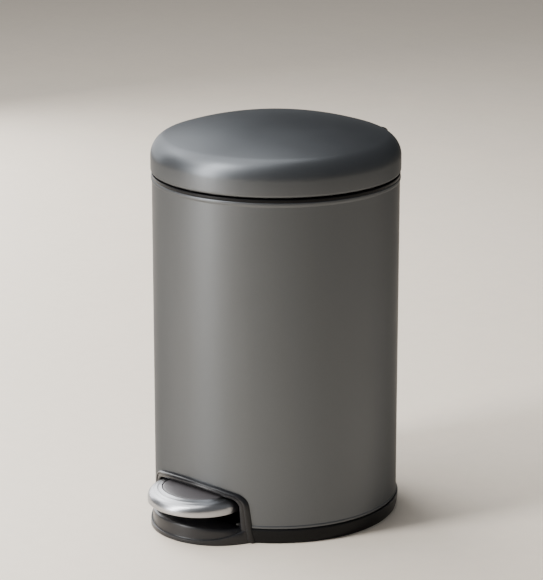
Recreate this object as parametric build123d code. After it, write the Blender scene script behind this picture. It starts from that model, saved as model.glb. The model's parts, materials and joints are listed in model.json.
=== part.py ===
from build123d import *
import math
import os

# Pedal trash can: a steel can with a domed lid, opened by a foot pedal.
# Millimetres. Z is up, the pedal faces -Y, and the origin is on the can's axis at the floor.

# ---- can ----
CAN_RADIUS = 125.0
STEEL = 0.8
SHELL_BOTTOM = 15.6
SHELL_TOP = 349.3
BEAD_PROUD = 0.8
BEAD_HEIGHT = 4.0
HEM_PROUD = 0.6
HEM_HEIGHT = 2.2

# ---- base ----
BASE_TOP = 15.0
BASE_TOP_RADIUS = 127.0
BASE_FLOOR_RADIUS = 124.0
PAN_FLOOR_UNDER = 3.0
PAN_FLOOR_TOP = 5.5
PAN_STAND_RADIUS = 123.9
PAN_STAND_TOP = 28.0
PAD_RADIUS = 8.0
PAD_RING = 96.0

# ---- collar round the mouth ----
COLLAR_RADIUS = 125.5
COLLAR_TOP = 352.4
COLLAR_MOUTH = 105.5
SEAT_RADIUS = 110.6
SEAT_Z = 349.4
NOTCH_HALF = 14.0
NOTCH_FROM = 107.0

# ---- lid ----
LID_RADIUS = 126.2
LID_BOTTOM = 353.9
LID_SKIRT_TOP = 369.6
LID_SHOULDER = 21.8
LID_DOME = 344.0
LID_HEM = 3.0
LID_HEM_SWEEP = 75.0
LINER_GAP = 0.2
LINER_WALL = 1.6
LINER_FLANGE_IN = 115.0
LINER_FLANGE_Z = LID_BOTTOM + LID_HEM + 0.2
LID_NOTCH_HALF = 27.0
LID_NOTCH_TOP = 377.0

# ---- lid hinge ----
HINGE_Y = 132.0
HINGE_Z = 364.0
HINGE_PIN = 3.0
HUB_RADIUS = 5.6
HUB_HALF = 18.4
EAR_IN = 19.4
EAR_OUT = 24.4
EAR_RADIUS = 6.2
CRANK = 20.0
CRANK_DROP = 40.0
ARM_PIN = 1.5
CHEEK_IN = 4.0
CHEEK_OUT = 6.6
COWL_RADIUS = 143.5
COWL_HALF = 30.0
COWL_TOP = 379.0
COWL_BOTTOM = 365.0
COWL_WALL = 2.0
BRACKET_PLATE = 4.4
BRACKET_HALF = 36.0
BRACKET_LOW = 310.0
BRACKET_TOP = 353.0

# ---- foot pedal and lever ----
PIVOT_Y = -72.0
PIVOT_Z = 24.0
PIVOT_PIN = 2.5
ROD_Y = 114.5
ROD_RADIUS = 2.5
LEVER_TOP = 30.0
LEVER_PLATE = 2.0
LEVER_WEB_IN = 5.0
LEVER_WEB_OUT = 7.0
PEDAL_CENTRE = -118.0
PEDAL_REACH = 47.0
PEDAL_HALF = 51.5
PEDAL_BACK = -104.0
PEDAL_UNDER = 32.0
PEDAL_TOP = 49.0
PEDAL_RIM = 31.2
PAD_HALF = 37.0
PAD_FRONT = 31.0
PAD_GROOVE = 0.4
FLANGE_IN = 26.0
FLANGE_OUT = 28.0
UPRIGHT_IN = 31.0
UPRIGHT_OUT = 33.0
UPRIGHT_FOOT = 46.0
UPRIGHT_HALF = 10.0
LEVER_PIN = 2.0

# ---- pedal housing ----
HOUSING_RADIUS = 129.6
HOUSING_BACK = 121.9
HOUSING_TOP = 57.2
HOUSING_SHOULDER = (51.5, 50.6)
HOUSING_SIDE = (63.4, 38.0)
HOUSING_FOOT = 68.0
MOUTH_TOP = 50.3
MOUTH_SHOULDER = (46.5, 45.2)
MOUTH_SIDE = (55.6, 38.0)
MOUTH_FOOT = (56.6, 18.4)
SHELL_WINDOW = 3.2
PLINTH_CENTRE = -102.5
PLINTH_REACH = 51.7
PLINTH_HALF = 62.2
LIP_HEIGHT = 5.0
LIP_PROUD = 2.0
LEDGE_CREST = 18.6
LEDGE_END = 15.0
LEDGE_HALF = 64.0
WALL = 2.5

# ---- inner bucket ----
BUCKET_RADIUS = 104.6
BUCKET_FOOT = 98.0
BUCKET_WALL = 1.8
BUCKET_UNDER = 57.0
BUCKET_RIM = 110.0
BUCKET_TOP = 352.0
BAIL_Z = 355.2
BAIL_RADIUS = 107.6
BAIL_WIRE = 2.0
LUG_IN = 102.9
LUG_OUT = 104.9
LUG_RADIUS = 5.0
GRIP_WALL = 1.1
GRIP_HALF_ANGLE = 16.0

# ---- rod guides and soft-close damper ----
GUIDE_LOWER = 80.0
GUIDE_UPPER = 284.0
GUIDE_TALL = 14.0
DAMPER_X = 18.0
DAMPER_Y = 112.0
DAMPER_LOW = 62.0
DAMPER_HIGH = 140.0
DAMPER_RADIUS = 5.6
DAMPER_BORE = 4.5
DAMPER_ROD = 1.5
CLAMP_Z = 150.0
CLAMP_TALL = 9.0

# ---- fasteners ----
WING_TOP = 361.6
WING_FROM = 111.6
WING_THICK = 3.0
BUMPER_RING = 119.0
BUMPER_RADIUS = 3.5
LID_SCREWS = [(-14, 116), (14, 116)]
HINGE_SCREWS = [(-14, 324), (14, 324)]
BASE_SCREWS = [(-90, 0), (90, 0), (-46, 84), (46, 84)]
HOUSING_SCREWS = [(-36, -94), (36, -94)]
PEDAL_SCREWS = [(-24, -128), (24, -128)]
HEAD = 3.2
HEAD_TALL = 2.0


def turned(points):
    """A solid of revolution about the can's axis from (radius, height) points."""
    return revolve(Plane.XZ * make_face(Polyline(*points, close=True)), Axis.Z)


def post(x, y, low, high, radius):
    """An upright round post."""
    return Pos(x, y, low) * extrude(Circle(radius), high - low)


def block(xs, ys, zs):
    """A box between two values along each axis."""
    size = (xs[1] - xs[0], ys[1] - ys[0], zs[1] - zs[0])
    centre = ((xs[0] + xs[1]) / 2, (ys[0] + ys[1]) / 2, (zs[0] + zs[1]) / 2)
    return Pos(*centre) * Box(*size)


def across(left, right, y, z, radius):
    """A round bar along X."""
    plane = Plane(origin=(left, y, z), x_dir=(0, 1, 0), z_dir=(1, 0, 0))
    return extrude(plane * Circle(radius), right - left)


def along_x(left, right, face):
    """Extrude a face drawn in (y, z) from left to right."""
    plane = Plane(origin=(left, 0, 0), x_dir=(0, 1, 0), z_dir=(1, 0, 0))
    return extrude(plane * face, right - left)


def along_y(front, back, face):
    """Extrude a face drawn in (x, z) from front to back."""
    plane = Plane(origin=(0, back, 0), x_dir=(1, 0, 0), z_dir=(0, -1, 0))
    return extrude(plane * face, back - front)


def outline(points):
    return make_face(Polyline(*points, close=True))


def hull_of_two(a, ra, b, rb):
    """The face that wraps two circles, as on a flat link."""
    ax, ay = a
    bx, by = b
    span = math.hypot(bx - ax, by - ay)
    heading = math.atan2(by - ay, bx - ax)
    lean = math.acos((ra - rb) / span)
    corners = []
    for centre, radius in ((a, ra), (b, rb)):
        for side in (1, -1):
            angle = heading + side * lean
            x = centre[0] + radius * math.cos(angle)
            y = centre[1] + radius * math.sin(angle)
            corners.append((x, y))
    web = outline([corners[0], corners[1], corners[3], corners[2]])
    return web + Pos(*a) * Circle(ra) + Pos(*b) * Circle(rb)


def cylinder_to(radius):
    """A tall solid cylinder about the can's axis, for trimming."""
    return post(0, 0, -10, 420, radius)


# ---------------------------------------------------------------- can and base


def housing_outline(inset):
    """The arched face of the pedal housing in (x, z), inset from its outer edge."""
    top = HOUSING_TOP - inset
    shoulder_x = HOUSING_SHOULDER[0] - inset * 0.7
    shoulder_z = HOUSING_SHOULDER[1] - inset
    side_x = HOUSING_SIDE[0] - inset
    side_z = HOUSING_SIDE[1]
    foot_x = HOUSING_FOOT - inset
    crown = ThreePointArc((-shoulder_x, shoulder_z), (0, top), (shoulder_x, shoulder_z))
    bulge = (shoulder_x * 0.32 + side_x * 0.68, shoulder_z * 0.68 + side_z * 0.32)
    right = ThreePointArc((shoulder_x, shoulder_z), bulge, (side_x, side_z))
    left = ThreePointArc((-side_x, side_z), (-bulge[0], bulge[1]), (-shoulder_x, shoulder_z))
    sides = Polyline((side_x, side_z), (foot_x, 0), (-foot_x, 0), (-side_x, side_z))
    return make_face(crown + right + sides + left)


def outer_shell():
    r = CAN_RADIUS
    inner = r - STEEL
    bead = r + BEAD_PROUD
    bead_low = SHELL_TOP - BEAD_HEIGHT
    shell = turned(
        [
            (inner, SHELL_BOTTOM),
            (r + HEM_PROUD, SHELL_BOTTOM),
            (r + HEM_PROUD, SHELL_BOTTOM + HEM_HEIGHT),
            (r, SHELL_BOTTOM + HEM_HEIGHT + 0.6),
            (r, bead_low),
            (bead, bead_low + 1.2),
            (bead, SHELL_TOP - 0.8),
            (bead - 0.6, SHELL_TOP),
            (inner, SHELL_TOP),
        ]
    )
    window = along_y(-140, -90, housing_outline(SHELL_WINDOW))
    holes = Part()
    for x, z in HINGE_SCREWS:
        holes += Plane(origin=(x, 110, z), z_dir=(0, 1, 0)) * Pos(0, 0, 10) * Cylinder(2.1, 30)
    return shell - window - holes


def base_pan():
    """Black base ring with a closed floor and a stand that the shell fits over."""
    top = BASE_TOP
    curve = ThreePointArc(
        (BASE_FLOOR_RADIUS, 0), (BASE_TOP_RADIUS - 0.6, top * 0.5), (BASE_TOP_RADIUS, top - 1)
    )
    rest = Polyline(
        (BASE_TOP_RADIUS, top - 1),
        (BASE_TOP_RADIUS - 1, top),
        (PAN_STAND_RADIUS, top),
        (PAN_STAND_RADIUS, PAN_STAND_TOP),
        (PAN_STAND_RADIUS - WALL, PAN_STAND_TOP),
        (PAN_STAND_RADIUS - WALL, PAN_FLOOR_TOP),
        (0, PAN_FLOOR_TOP),
        (0, PAN_FLOOR_UNDER),
        (PAN_STAND_RADIUS - 5, PAN_FLOOR_UNDER),
        (PAN_STAND_RADIUS - 5, 0),
        (BASE_FLOOR_RADIUS, 0),
    )
    pan = revolve(Plane.XZ * make_face(curve + rest), Axis.Z)
    pan -= along_y(-160, -100, housing_outline(-0.4))
    for x, y in BASE_SCREWS:
        pan += post(x, y, PAN_FLOOR_UNDER, PAN_FLOOR_TOP + 9, 5)
    for x, y in BASE_SCREWS:
        pan -= post(x, y, 0, PAN_FLOOR_TOP + 7, 1.6)
    return pan


def base_pads():
    pads = Part()
    for step in range(4):
        angle = math.radians(45 + 90 * step)
        x = PAD_RING * math.cos(angle)
        y = PAD_RING * math.sin(angle)
        pads += post(x, y, 0, PAN_FLOOR_UNDER, PAD_RADIUS)
    return pads


def pedal_housing():
    """Arched bezel on the can's front and the plinth that projects in front of it."""
    flange = cylinder_to(HOUSING_RADIUS) - cylinder_to(CAN_RADIUS + 0.05)
    flange -= cylinder_to(CAN_RADIUS + HEM_PROUD + 0.1) & block((-80, 80), (-140, -90), (0, 18.6))
    spigot = cylinder_to(CAN_RADIUS + 1) - cylinder_to(HOUSING_BACK)
    bezel = flange & along_y(-150, -90, housing_outline(0))
    bezel += spigot & along_y(-150, -90, housing_outline(SHELL_WINDOW + 0.2))
    outer = plinth(0, 0, LIP_HEIGHT) + plinth(LIP_PROUD, 0, 40)
    hollow = plinth(LIP_PROUD + WALL, -1, 40)
    side = LEDGE_HALF
    crown = ThreePointArc((-side, LEDGE_END), (0, LEDGE_CREST), (side, LEDGE_END))
    drum = Polyline((side, LEDGE_END), (side, -1), (-side, -1), (-side, LEDGE_END))
    under = Pos(0, -WALL) * make_face(crown + drum)
    foot = outer & along_y(-160, -90, make_face(crown + drum))
    foot -= hollow & along_y(-160, -90, under)
    back = block((-58, 58), (PLINTH_CENTRE - WALL, PLINTH_CENTRE), (0, 40))
    foot += back & along_y(-160, -90, make_face(crown + drum))
    tabs = Part()
    for x, y in HOUSING_SCREWS:
        tab_z = (PAN_FLOOR_TOP, PAN_FLOOR_TOP + 2.5)
        tabs += block((x - 6, x + 6), (PLINTH_CENTRE - 1, y + 6), tab_z)
    mouth = along_y(-150, -90, mouth_outline())
    housing = bezel + foot - mouth + tabs
    for x, y in HOUSING_SCREWS:
        housing -= post(x, y, 0, 20, 1.8)
    return housing


def plinth(inset, low, high):
    """A half-oval foot in front of the can, with short straight ends behind."""
    reach = PLINTH_REACH - inset
    half = PLINTH_HALF - inset
    oval = Pos(0, PLINTH_CENTRE) * Ellipse(half, reach)
    front = oval & Pos(0, PLINTH_CENTRE - 40) * Rectangle(200, 80)
    return Pos(0, 0, low) * extrude(front, high - low)


def mouth_outline():
    """The opening in the bezel that the pedal passes through, in (x, z)."""
    shoulder_x, shoulder_z = MOUTH_SHOULDER
    side_x, side_z = MOUTH_SIDE
    foot_x, foot_z = MOUTH_FOOT
    turn_x = shoulder_x * 0.3 + side_x * 0.7
    turn_z = shoulder_z * 0.7 + side_z * 0.3
    crown = ThreePointArc((-shoulder_x, shoulder_z), (0, MOUTH_TOP), MOUTH_SHOULDER)
    right = ThreePointArc(MOUTH_SHOULDER, (turn_x, turn_z), MOUTH_SIDE)
    left = ThreePointArc((-side_x, side_z), (-turn_x, turn_z), (-shoulder_x, shoulder_z))
    foot = ThreePointArc(MOUTH_FOOT, (0, LEDGE_CREST + 1.2), (-foot_x, foot_z))
    right_side = Line(MOUTH_SIDE, MOUTH_FOOT)
    left_side = Line((-foot_x, foot_z), (-side_x, side_z))
    return make_face(crown + right + right_side + foot + left_side + left)


def top_collar():
    """Black ring on the can's mouth, with the seat that the bucket hangs on."""
    collar = turned(
        [
            (COLLAR_MOUTH, SEAT_Z - 3),
            (PAN_STAND_RADIUS - 2, SEAT_Z - 3),
            (PAN_STAND_RADIUS - 2, SEAT_Z - 12),
            (PAN_STAND_RADIUS, SEAT_Z - 12),
            (PAN_STAND_RADIUS, SHELL_TOP),
            (COLLAR_RADIUS, SHELL_TOP),
            (COLLAR_RADIUS, COLLAR_TOP - 0.8),
            (COLLAR_RADIUS - 0.8, COLLAR_TOP),
            (SEAT_RADIUS, COLLAR_TOP),
            (SEAT_RADIUS, SEAT_Z),
            (COLLAR_MOUTH, SEAT_Z),
        ]
    )
    return collar - block((-NOTCH_HALF, NOTCH_HALF), (NOTCH_FROM, 130), (SEAT_Z - 20, SEAT_Z + 10))


# ---------------------------------------------------------------- lid


def on_circle(centre, radius, degrees):
    angle = math.radians(degrees)
    return (centre[0] + radius * math.cos(angle), centre[1] + radius * math.sin(angle))


def lid_curve(inset, hem):
    """Half-section of the lid at an inset from its outside: the dome down to the edge."""
    shoulder_at = (LID_RADIUS - LID_SHOULDER, LID_SKIRT_TOP)
    reach = LID_DOME - LID_SHOULDER
    drop = math.sqrt(reach**2 - shoulder_at[0] ** 2)
    dome_at = (0, LID_SKIRT_TOP - drop)
    meets = math.degrees(math.atan2(drop, shoulder_at[0]))
    dome = LID_DOME - inset
    shoulder = LID_SHOULDER - inset
    curve = ThreePointArc(
        on_circle(dome_at, dome, 90),
        on_circle(dome_at, dome, (90 + meets) / 2),
        on_circle(dome_at, dome, meets),
    )
    curve += ThreePointArc(
        on_circle(shoulder_at, shoulder, meets),
        on_circle(shoulder_at, shoulder, meets / 2),
        on_circle(shoulder_at, shoulder, 0),
    )
    if not hem:
        low = LINER_FLANGE_Z
        curve += Line((LID_RADIUS - inset, LID_SKIRT_TOP), (LID_RADIUS - inset, low))
        return curve
    hem_at = (LID_RADIUS - LID_HEM, LID_BOTTOM + LID_HEM)
    small = LID_HEM - inset
    curve += Line((LID_RADIUS - inset, LID_SKIRT_TOP), (LID_RADIUS - inset, hem_at[1]))
    curve += ThreePointArc(
        on_circle(hem_at, small, 0),
        on_circle(hem_at, small, -LID_HEM_SWEEP / 2),
        on_circle(hem_at, small, -LID_HEM_SWEEP),
    )
    return curve


def dome_between(outer_inset, inner_inset, hem):
    """The revolved skin between two insets of the lid's half-section."""
    outer = lid_curve(outer_inset, hem)
    inner = lid_curve(inner_inset, hem)
    outer_ends = outer.edges()[0] @ 0, outer.edges()[-1] @ 1
    inner_ends = inner.edges()[0] @ 0, inner.edges()[-1] @ 1
    closing = Line(outer_ends[0], inner_ends[0]) + Line(outer_ends[1], inner_ends[1])
    return revolve(Plane.XZ * make_face(outer + inner + closing), Axis.Z)


def lid_notch(margin):
    """The gap in the lid's back edge that the hinge passes through."""
    half = LID_NOTCH_HALF + margin
    return block((-half, half), (95, 150), (LID_BOTTOM - 10, LID_NOTCH_TOP + margin))


def lid_shell():
    return dome_between(0, STEEL, True) - lid_notch(0)


def lid_liner():
    """Plastic lining under the steel lid, with the flange that carries the bumpers."""
    near = STEEL + LINER_GAP
    skin = dome_between(near, near + LINER_WALL, False)
    edge = LID_RADIUS - near
    skin += turned(
        [
            (LINER_FLANGE_IN, LINER_FLANGE_Z),
            (edge, LINER_FLANGE_Z),
            (edge, LINER_FLANGE_Z + LINER_WALL),
            (LINER_FLANGE_IN, LINER_FLANGE_Z + LINER_WALL),
        ]
    )
    skin -= lid_notch(1)
    inside = dome_between(near, LID_SHOULDER - 1, False)
    for x, y in LID_SCREWS:
        boss = post(x, y, WING_TOP, LID_SKIRT_TOP + 35, 4.5)
        skin += boss & inside
    for x, y in LID_SCREWS:
        skin -= post(x, y, WING_TOP - 1, WING_TOP + 12, 1.5)
    return skin


def lid_bumpers():
    bumpers = Part()
    for degrees in (-90, 30, 150):
        x, y = on_circle((0, 0), BUMPER_RING, degrees)
        bumpers += post(x, y, COLLAR_TOP + 0.3, LINER_FLANGE_Z, BUMPER_RADIUS)
    return bumpers


def arm_pin_at():
    """Where the arm's pin is with the lid closed, in (y, z)."""
    angle = math.radians(CRANK_DROP)
    return (HINGE_Y - CRANK * math.cos(angle), HINGE_Z - CRANK * math.sin(angle))


def lid_hinge_arm():
    """Cast hinge knuckle: hub on the hinge pin, two crank cheeks and two wings."""
    hub = across(-HUB_HALF, HUB_HALF, HINGE_Y, HINGE_Z, HUB_RADIUS)
    cheek = hull_of_two(arm_pin_at(), 3.5, (HINGE_Y, HINGE_Z), HUB_RADIUS)
    arm = hub
    for side in (-1, 1):
        near, far = sorted((side * CHEEK_IN, side * CHEEK_OUT))
        arm += along_x(near, far, cheek)
        near, far = sorted((side * CHEEK_OUT, side * HUB_HALF))
        arm += block((near, far), (WING_FROM, HINGE_Y), (WING_TOP - WING_THICK, WING_TOP))
    arm -= across(-HUB_HALF - 1, HUB_HALF + 1, HINGE_Y, HINGE_Z, HINGE_PIN + 1.2)
    pin = arm_pin_at()
    arm -= across(-10, 10, pin[0], pin[1], ARM_PIN)
    for x, y in LID_SCREWS:
        arm -= post(x, y, WING_TOP - 4, WING_TOP + 1, 1.7)
    return arm


def hinge_bushes():
    """Two flanged nylon bushes that line the hub."""
    bushes = Part()
    for side in (-1, 1):
        near, far = sorted((side * HUB_HALF, side * (HUB_HALF - 12)))
        bushes += across(near, far, HINGE_Y, HINGE_Z, HINGE_PIN + 1.2)
        near, far = sorted((side * HUB_HALF, side * (HUB_HALF + 0.6)))
        bushes += across(near, far, HINGE_Y, HINGE_Z, HUB_RADIUS)
    return bushes - across(-30, 30, HINGE_Y, HINGE_Z, HINGE_PIN + 0.06)


def arm_pin():
    pin = arm_pin_at()
    return across(-CHEEK_OUT - 1, CHEEK_OUT + 1, pin[0], pin[1], ARM_PIN)


def lid_screws():
    screws = Part()
    for x, y in LID_SCREWS:
        under = WING_TOP - WING_THICK
        screws += post(x, y, under, WING_TOP + 11, 1.5)
        screws += post(x, y, under - HEAD_TALL, under, 3)
    return screws


def lid_hinge_cover():
    """Black cowl that closes the lid's back notch and wraps the hinge."""
    half = COWL_HALF
    solid = cylinder_to(COWL_RADIUS) & block((-half, half), (90, 150), (COWL_BOTTOM, COWL_TOP))
    uprights = solid.edges().filter_by(Axis.Z)
    back = uprights.sort_by(Axis.Y)[-2:]
    solid = fillet(back, 7)
    solid = fillet(solid.faces().sort_by(Axis.Z)[-1].edges().sort_by(Axis.Y)[1:], 4)
    hollow = cylinder_to(COWL_RADIUS - COWL_WALL)
    hollow &= block((-half + COWL_WALL, half - COWL_WALL), (90, 150), (0, COWL_TOP - COWL_WALL))
    lid_inside = dome_solid()
    return solid - hollow - lid_inside


def dome_solid():
    """Everything inside the lid's outer surface, carried down past its edge."""
    outer = lid_curve(0, False)
    top = outer.edges()[0] @ 0
    low = outer.edges()[-1] @ 1
    frame = Polyline(tuple(top)[:2], (0, 300), (low.X, 300), tuple(low)[:2])
    return revolve(Plane.XZ * make_face(outer + frame), Axis.Z)


# ---------------------------------------------------------------- fixed hinge parts


def hinge_bracket():
    """Black moulding on the can's back whose two ears hold the hinge pin."""
    half = BRACKET_HALF
    over_bead = CAN_RADIUS + BEAD_PROUD + 0.1
    plate = cylinder_to(CAN_RADIUS + BRACKET_PLATE) - cylinder_to(over_bead)
    plate &= block((-half, half), (100, 140), (BRACKET_LOW, BRACKET_TOP))
    back = cylinder_to(over_bead) - cylinder_to(CAN_RADIUS)
    under_bead = SHELL_TOP - BEAD_HEIGHT - 0.4
    plate += back & block((-half, half), (100, 140), (BRACKET_LOW, under_bead))
    for side in (-1, 1):
        near, far = sorted((side * EAR_IN, side * EAR_OUT))
        rises = [(125.5, -32), (130.5, -32), (132.6, -9), (136.6, -4), (132, 0), (125.5, -3)]
        web = [(y, HINGE_Z + z) for y, z in rises]
        ear = outline(web) + Pos(HINGE_Y, HINGE_Z) * Circle(EAR_RADIUS)
        ear -= Pos(HINGE_Y, HINGE_Z) * Circle(HINGE_PIN)
        plate += along_x(near, far, ear) - cylinder_to(over_bead)
    for x, z in HINGE_SCREWS:
        plate -= Plane(origin=(x, 110, z), z_dir=(0, 1, 0)) * Pos(0, 0, 15) * Cylinder(2.1, 30)
    return plate


def hinge_pin():
    return across(-EAR_OUT - 1.8, EAR_OUT + 1.8, HINGE_Y, HINGE_Z, HINGE_PIN)


def hinge_pin_clips():
    clips = Part()
    for side in (-1, 1):
        near, far = sorted((side * (EAR_OUT + 0.2), side * (EAR_OUT + 1.4)))
        clip = across(near, far, HINGE_Y, HINGE_Z, 4.5)
        clips += clip - across(near - 1, far + 1, HINGE_Y, HINGE_Z, HINGE_PIN)
    return clips


def hinge_screws():
    screws = Part()
    for x, z in HINGE_SCREWS:
        outside = math.sqrt((CAN_RADIUS + BRACKET_PLATE) ** 2 - x**2)
        at = Plane(origin=(x, 0, z), z_dir=(0, 1, 0))
        screws += at * Pos(0, 0, outside - 6) * Cylinder(2, 14)
        screws += at * Pos(0, 0, outside + 1.7) * Cylinder(4, 2)
    return screws


def hinge_nut_plate():
    """Steel strip inside the can that the hinge screws thread into."""
    strip = cylinder_to(CAN_RADIUS - STEEL) - cylinder_to(CAN_RADIUS - STEEL - 2)
    strip &= block((-34, 34), (90, 130), (314, 334))
    strip -= block((-8, 8), (90, 130), (309, 339)) & cylinder_to(CAN_RADIUS - STEEL - 1)
    for x, z in HINGE_SCREWS:
        strip -= Plane(origin=(x, 110, z), z_dir=(0, 1, 0)) * Pos(0, 0, 10) * Cylinder(2, 30)
    return strip


# ---------------------------------------------------------------- pedal and lever


def pedal_oval(inset, back):
    """Plan of the pedal: a half oval in front, straight sides behind."""
    half = PEDAL_HALF - inset
    reach = PEDAL_REACH - inset
    oval = Pos(0, PEDAL_CENTRE) * Ellipse(half, reach)
    front = oval & Pos(0, PEDAL_CENTRE - 40) * Rectangle(200, 80)
    length = back - PEDAL_CENTRE
    return front + Pos(0, PEDAL_CENTRE + length / 2) * Rectangle(2 * half, length)


def pedal_crown():
    """The pedal's outer form: an edge band, then a top that rises gently backwards."""
    half = PEDAL_HALF
    low = Pos(0, 0, PEDAL_RIM) * extrude(pedal_oval(0, PEDAL_BACK), 24)
    falls = ((-170, 11.0), (-163, 7.8), (-150, 3.8), (-138, 1.4), (-122, 0), (PEDAL_BACK, 0))
    rise = [(y, PEDAL_TOP - fall) for y, fall in falls]
    top = outline([(-170, 20)] + rise + [(PEDAL_BACK, 20)])
    side = PEDAL_TOP - 6.3
    arch = ThreePointArc((-half, side), (0, PEDAL_TOP + 0.4), (half, side))
    below = Polyline((half, side), (half, 20), (-half, 20), (-half, side))
    return low & along_x(-60, 60, top) & along_y(-170, -90, make_face(arch + below))


def pad_plan(grow):
    half = PAD_HALF + grow
    reach = PAD_FRONT + grow
    oval = Pos(0, PEDAL_CENTRE) * Ellipse(half, reach)
    front = oval & Pos(0, PEDAL_CENTRE - 40) * Rectangle(200, 80)
    length = PEDAL_BACK - PEDAL_CENTRE + 2
    return front + Pos(0, PEDAL_CENTRE + length / 2) * Rectangle(2 * half, length)


def pedal_cover():
    """Silver crescent: a hollow cap whose top is open for the dark insert."""
    crown = pedal_crown()
    inside = Pos(0, 0, PEDAL_RIM - 1) * extrude(pedal_oval(2.2, PEDAL_BACK + 1), 60)
    lowered = Pos(0, 0, -2.2) * pedal_crown()
    slot = Pos(0, 0, PEDAL_UNDER) * extrude(pad_plan(PAD_GROOVE), 60)
    return crown - (inside & lowered) - slot


def pedal_pad():
    """Dark insert: fills the crescent and goes back into the housing."""
    slab = Pos(0, 0, PEDAL_UNDER) * extrude(pad_plan(0), 60)
    core = Pos(0, 0, PEDAL_UNDER) * extrude(pedal_oval(2.6, PEDAL_BACK - 1), 60)
    under = Pos(0, 0, -2.6) * pedal_crown()
    body = (slab & pedal_crown()) + (core & under)
    for x, y in PEDAL_SCREWS:
        body -= post(x, y, PEDAL_UNDER - 1, PEDAL_UNDER + 7, 1.5)
    return body


def pedal_lever():
    """Pressed steel lever: wide plate under the pedal, narrow channel to the back."""
    front = [(18, -151), (34, -143), (44, -127), (44, -104)]
    back = [(FLANGE_OUT, -88), (FLANGE_OUT, -58), (LEVER_WEB_OUT, -30), (LEVER_WEB_OUT, ROD_Y + 6)]
    right = front + back
    left = [(-x, y) for x, y in reversed(right)]
    plate = outline(right + left)
    lever = Pos(0, 0, LEVER_TOP) * extrude(plate, LEVER_PLATE)
    lever -= block((-LEVER_WEB_IN, LEVER_WEB_IN), (ROD_Y - 9, ROD_Y + 7), (0, 60))
    for side in (-1, 1):
        near, far = sorted((side * LEVER_WEB_IN, side * LEVER_WEB_OUT))
        lever += block((near, far), (-50, ROD_Y + 6), (20, LEVER_TOP))
        near, far = sorted((side * FLANGE_IN, side * FLANGE_OUT))
        lever += block((near, far), (-84, -58), (18, LEVER_TOP))
    lever -= across(-40, 40, PIVOT_Y, PIVOT_Z, PIVOT_PIN + 1.0)
    lever -= across(-10, 10, ROD_Y, PIVOT_Z, LEVER_PIN)
    for x, y in PEDAL_SCREWS:
        lever -= post(x, y, 20, 40, 1.7)
    return lever


def pedal_bushes():
    """Flanged bushes in the lever's side flanges."""
    bushes = Part()
    for side in (-1, 1):
        near, far = sorted((side * FLANGE_IN, side * FLANGE_OUT))
        bushes += across(near, far, PIVOT_Y, PIVOT_Z, PIVOT_PIN + 1.0)
        near, far = sorted((side * FLANGE_OUT, side * (FLANGE_OUT + 1)))
        bushes += across(near, far, PIVOT_Y, PIVOT_Z, 5)
    return bushes - across(-40, 40, PIVOT_Y, PIVOT_Z, PIVOT_PIN + 0.06)


def pedal_screws():
    screws = Part()
    for x, y in PEDAL_SCREWS:
        screws += post(x, y, LEVER_TOP, PEDAL_UNDER + 6, 1.5)
        screws += post(x, y, LEVER_TOP - HEAD_TALL, LEVER_TOP, HEAD)
    return screws


def lever_pin():
    return across(-LEVER_WEB_OUT - 1.2, LEVER_WEB_OUT + 1.2, ROD_Y, PIVOT_Z, LEVER_PIN)


def pivot_bracket(side):
    """Steel angle on the pan's floor that holds one end of the pedal's pivot pin."""
    ys = (PIVOT_Y - UPRIGHT_HALF, PIVOT_Y + UPRIGHT_HALF)
    near, far = sorted((side * UPRIGHT_IN, side * UPRIGHT_OUT))
    upright = block((near, far), ys, (PAN_FLOOR_TOP, PIVOT_Z + 8))
    near, far = sorted((side * UPRIGHT_IN, side * UPRIGHT_FOOT))
    foot = block((near, far), ys, (PAN_FLOOR_TOP, PAN_FLOOR_TOP + 2))
    bracket = upright + foot - across(-60, 60, PIVOT_Y, PIVOT_Z, PIVOT_PIN)
    return bracket - post(side * 40, PIVOT_Y, 0, 20, 1.7)


def bracket_screws():
    screws = Part()
    for side in (-1, 1):
        screws += post(side * 40, PIVOT_Y, PAN_FLOOR_TOP, PAN_FLOOR_TOP + 2, 1.6)
        screws += post(side * 40, PIVOT_Y, PAN_FLOOR_TOP + 2, PAN_FLOOR_TOP + 4, HEAD)
    return screws


def pedal_pivot_pin():
    return across(-UPRIGHT_OUT - 3, UPRIGHT_OUT + 3, PIVOT_Y, PIVOT_Z, PIVOT_PIN)


def pivot_clips():
    clips = Part()
    for side in (-1, 1):
        near, far = sorted((side * (UPRIGHT_OUT + 0.2), side * (UPRIGHT_OUT + 1.4)))
        clip = across(near, far, PIVOT_Y, PIVOT_Z, 4.6)
        clips += clip - across(near - 1, far + 1, PIVOT_Y, PIVOT_Z, PIVOT_PIN)
    return clips


def lever_rest_pad():
    """Rubber pad on the pan's floor that the lever's back end comes down on."""
    return block((-9, 9), (84, 100), (PAN_FLOOR_TOP, 19.6))


# ---------------------------------------------------------------- lift rod and damper


def slotted_eye(z, slot_from, slot_to, pin):
    """A flat eye with a level slot, in the plane x = 0."""
    tall = pin + 0.6
    eye = hull_of_two((slot_from, z), tall + 2.4, (slot_to, z), tall + 2.41)
    slot = hull_of_two((slot_from, z), tall, (slot_to, z), tall + 0.001)
    return along_x(-2.5, 2.5, eye - slot)


def lift_rod():
    """Steel rod from the lever to the lid's crank, with a slotted eye at each end."""
    pin = arm_pin_at()
    crank_far = HINGE_Y - CRANK
    upper = slotted_eye(pin[1], crank_far, pin[0], ARM_PIN)
    lower = slotted_eye(PIVOT_Z, ROD_Y - 2, ROD_Y + 0.5, LEVER_PIN)
    shaft = post(0, ROD_Y, PIVOT_Z + 4, pin[1] - 3, ROD_RADIUS)
    return upper + lower + shaft


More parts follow.
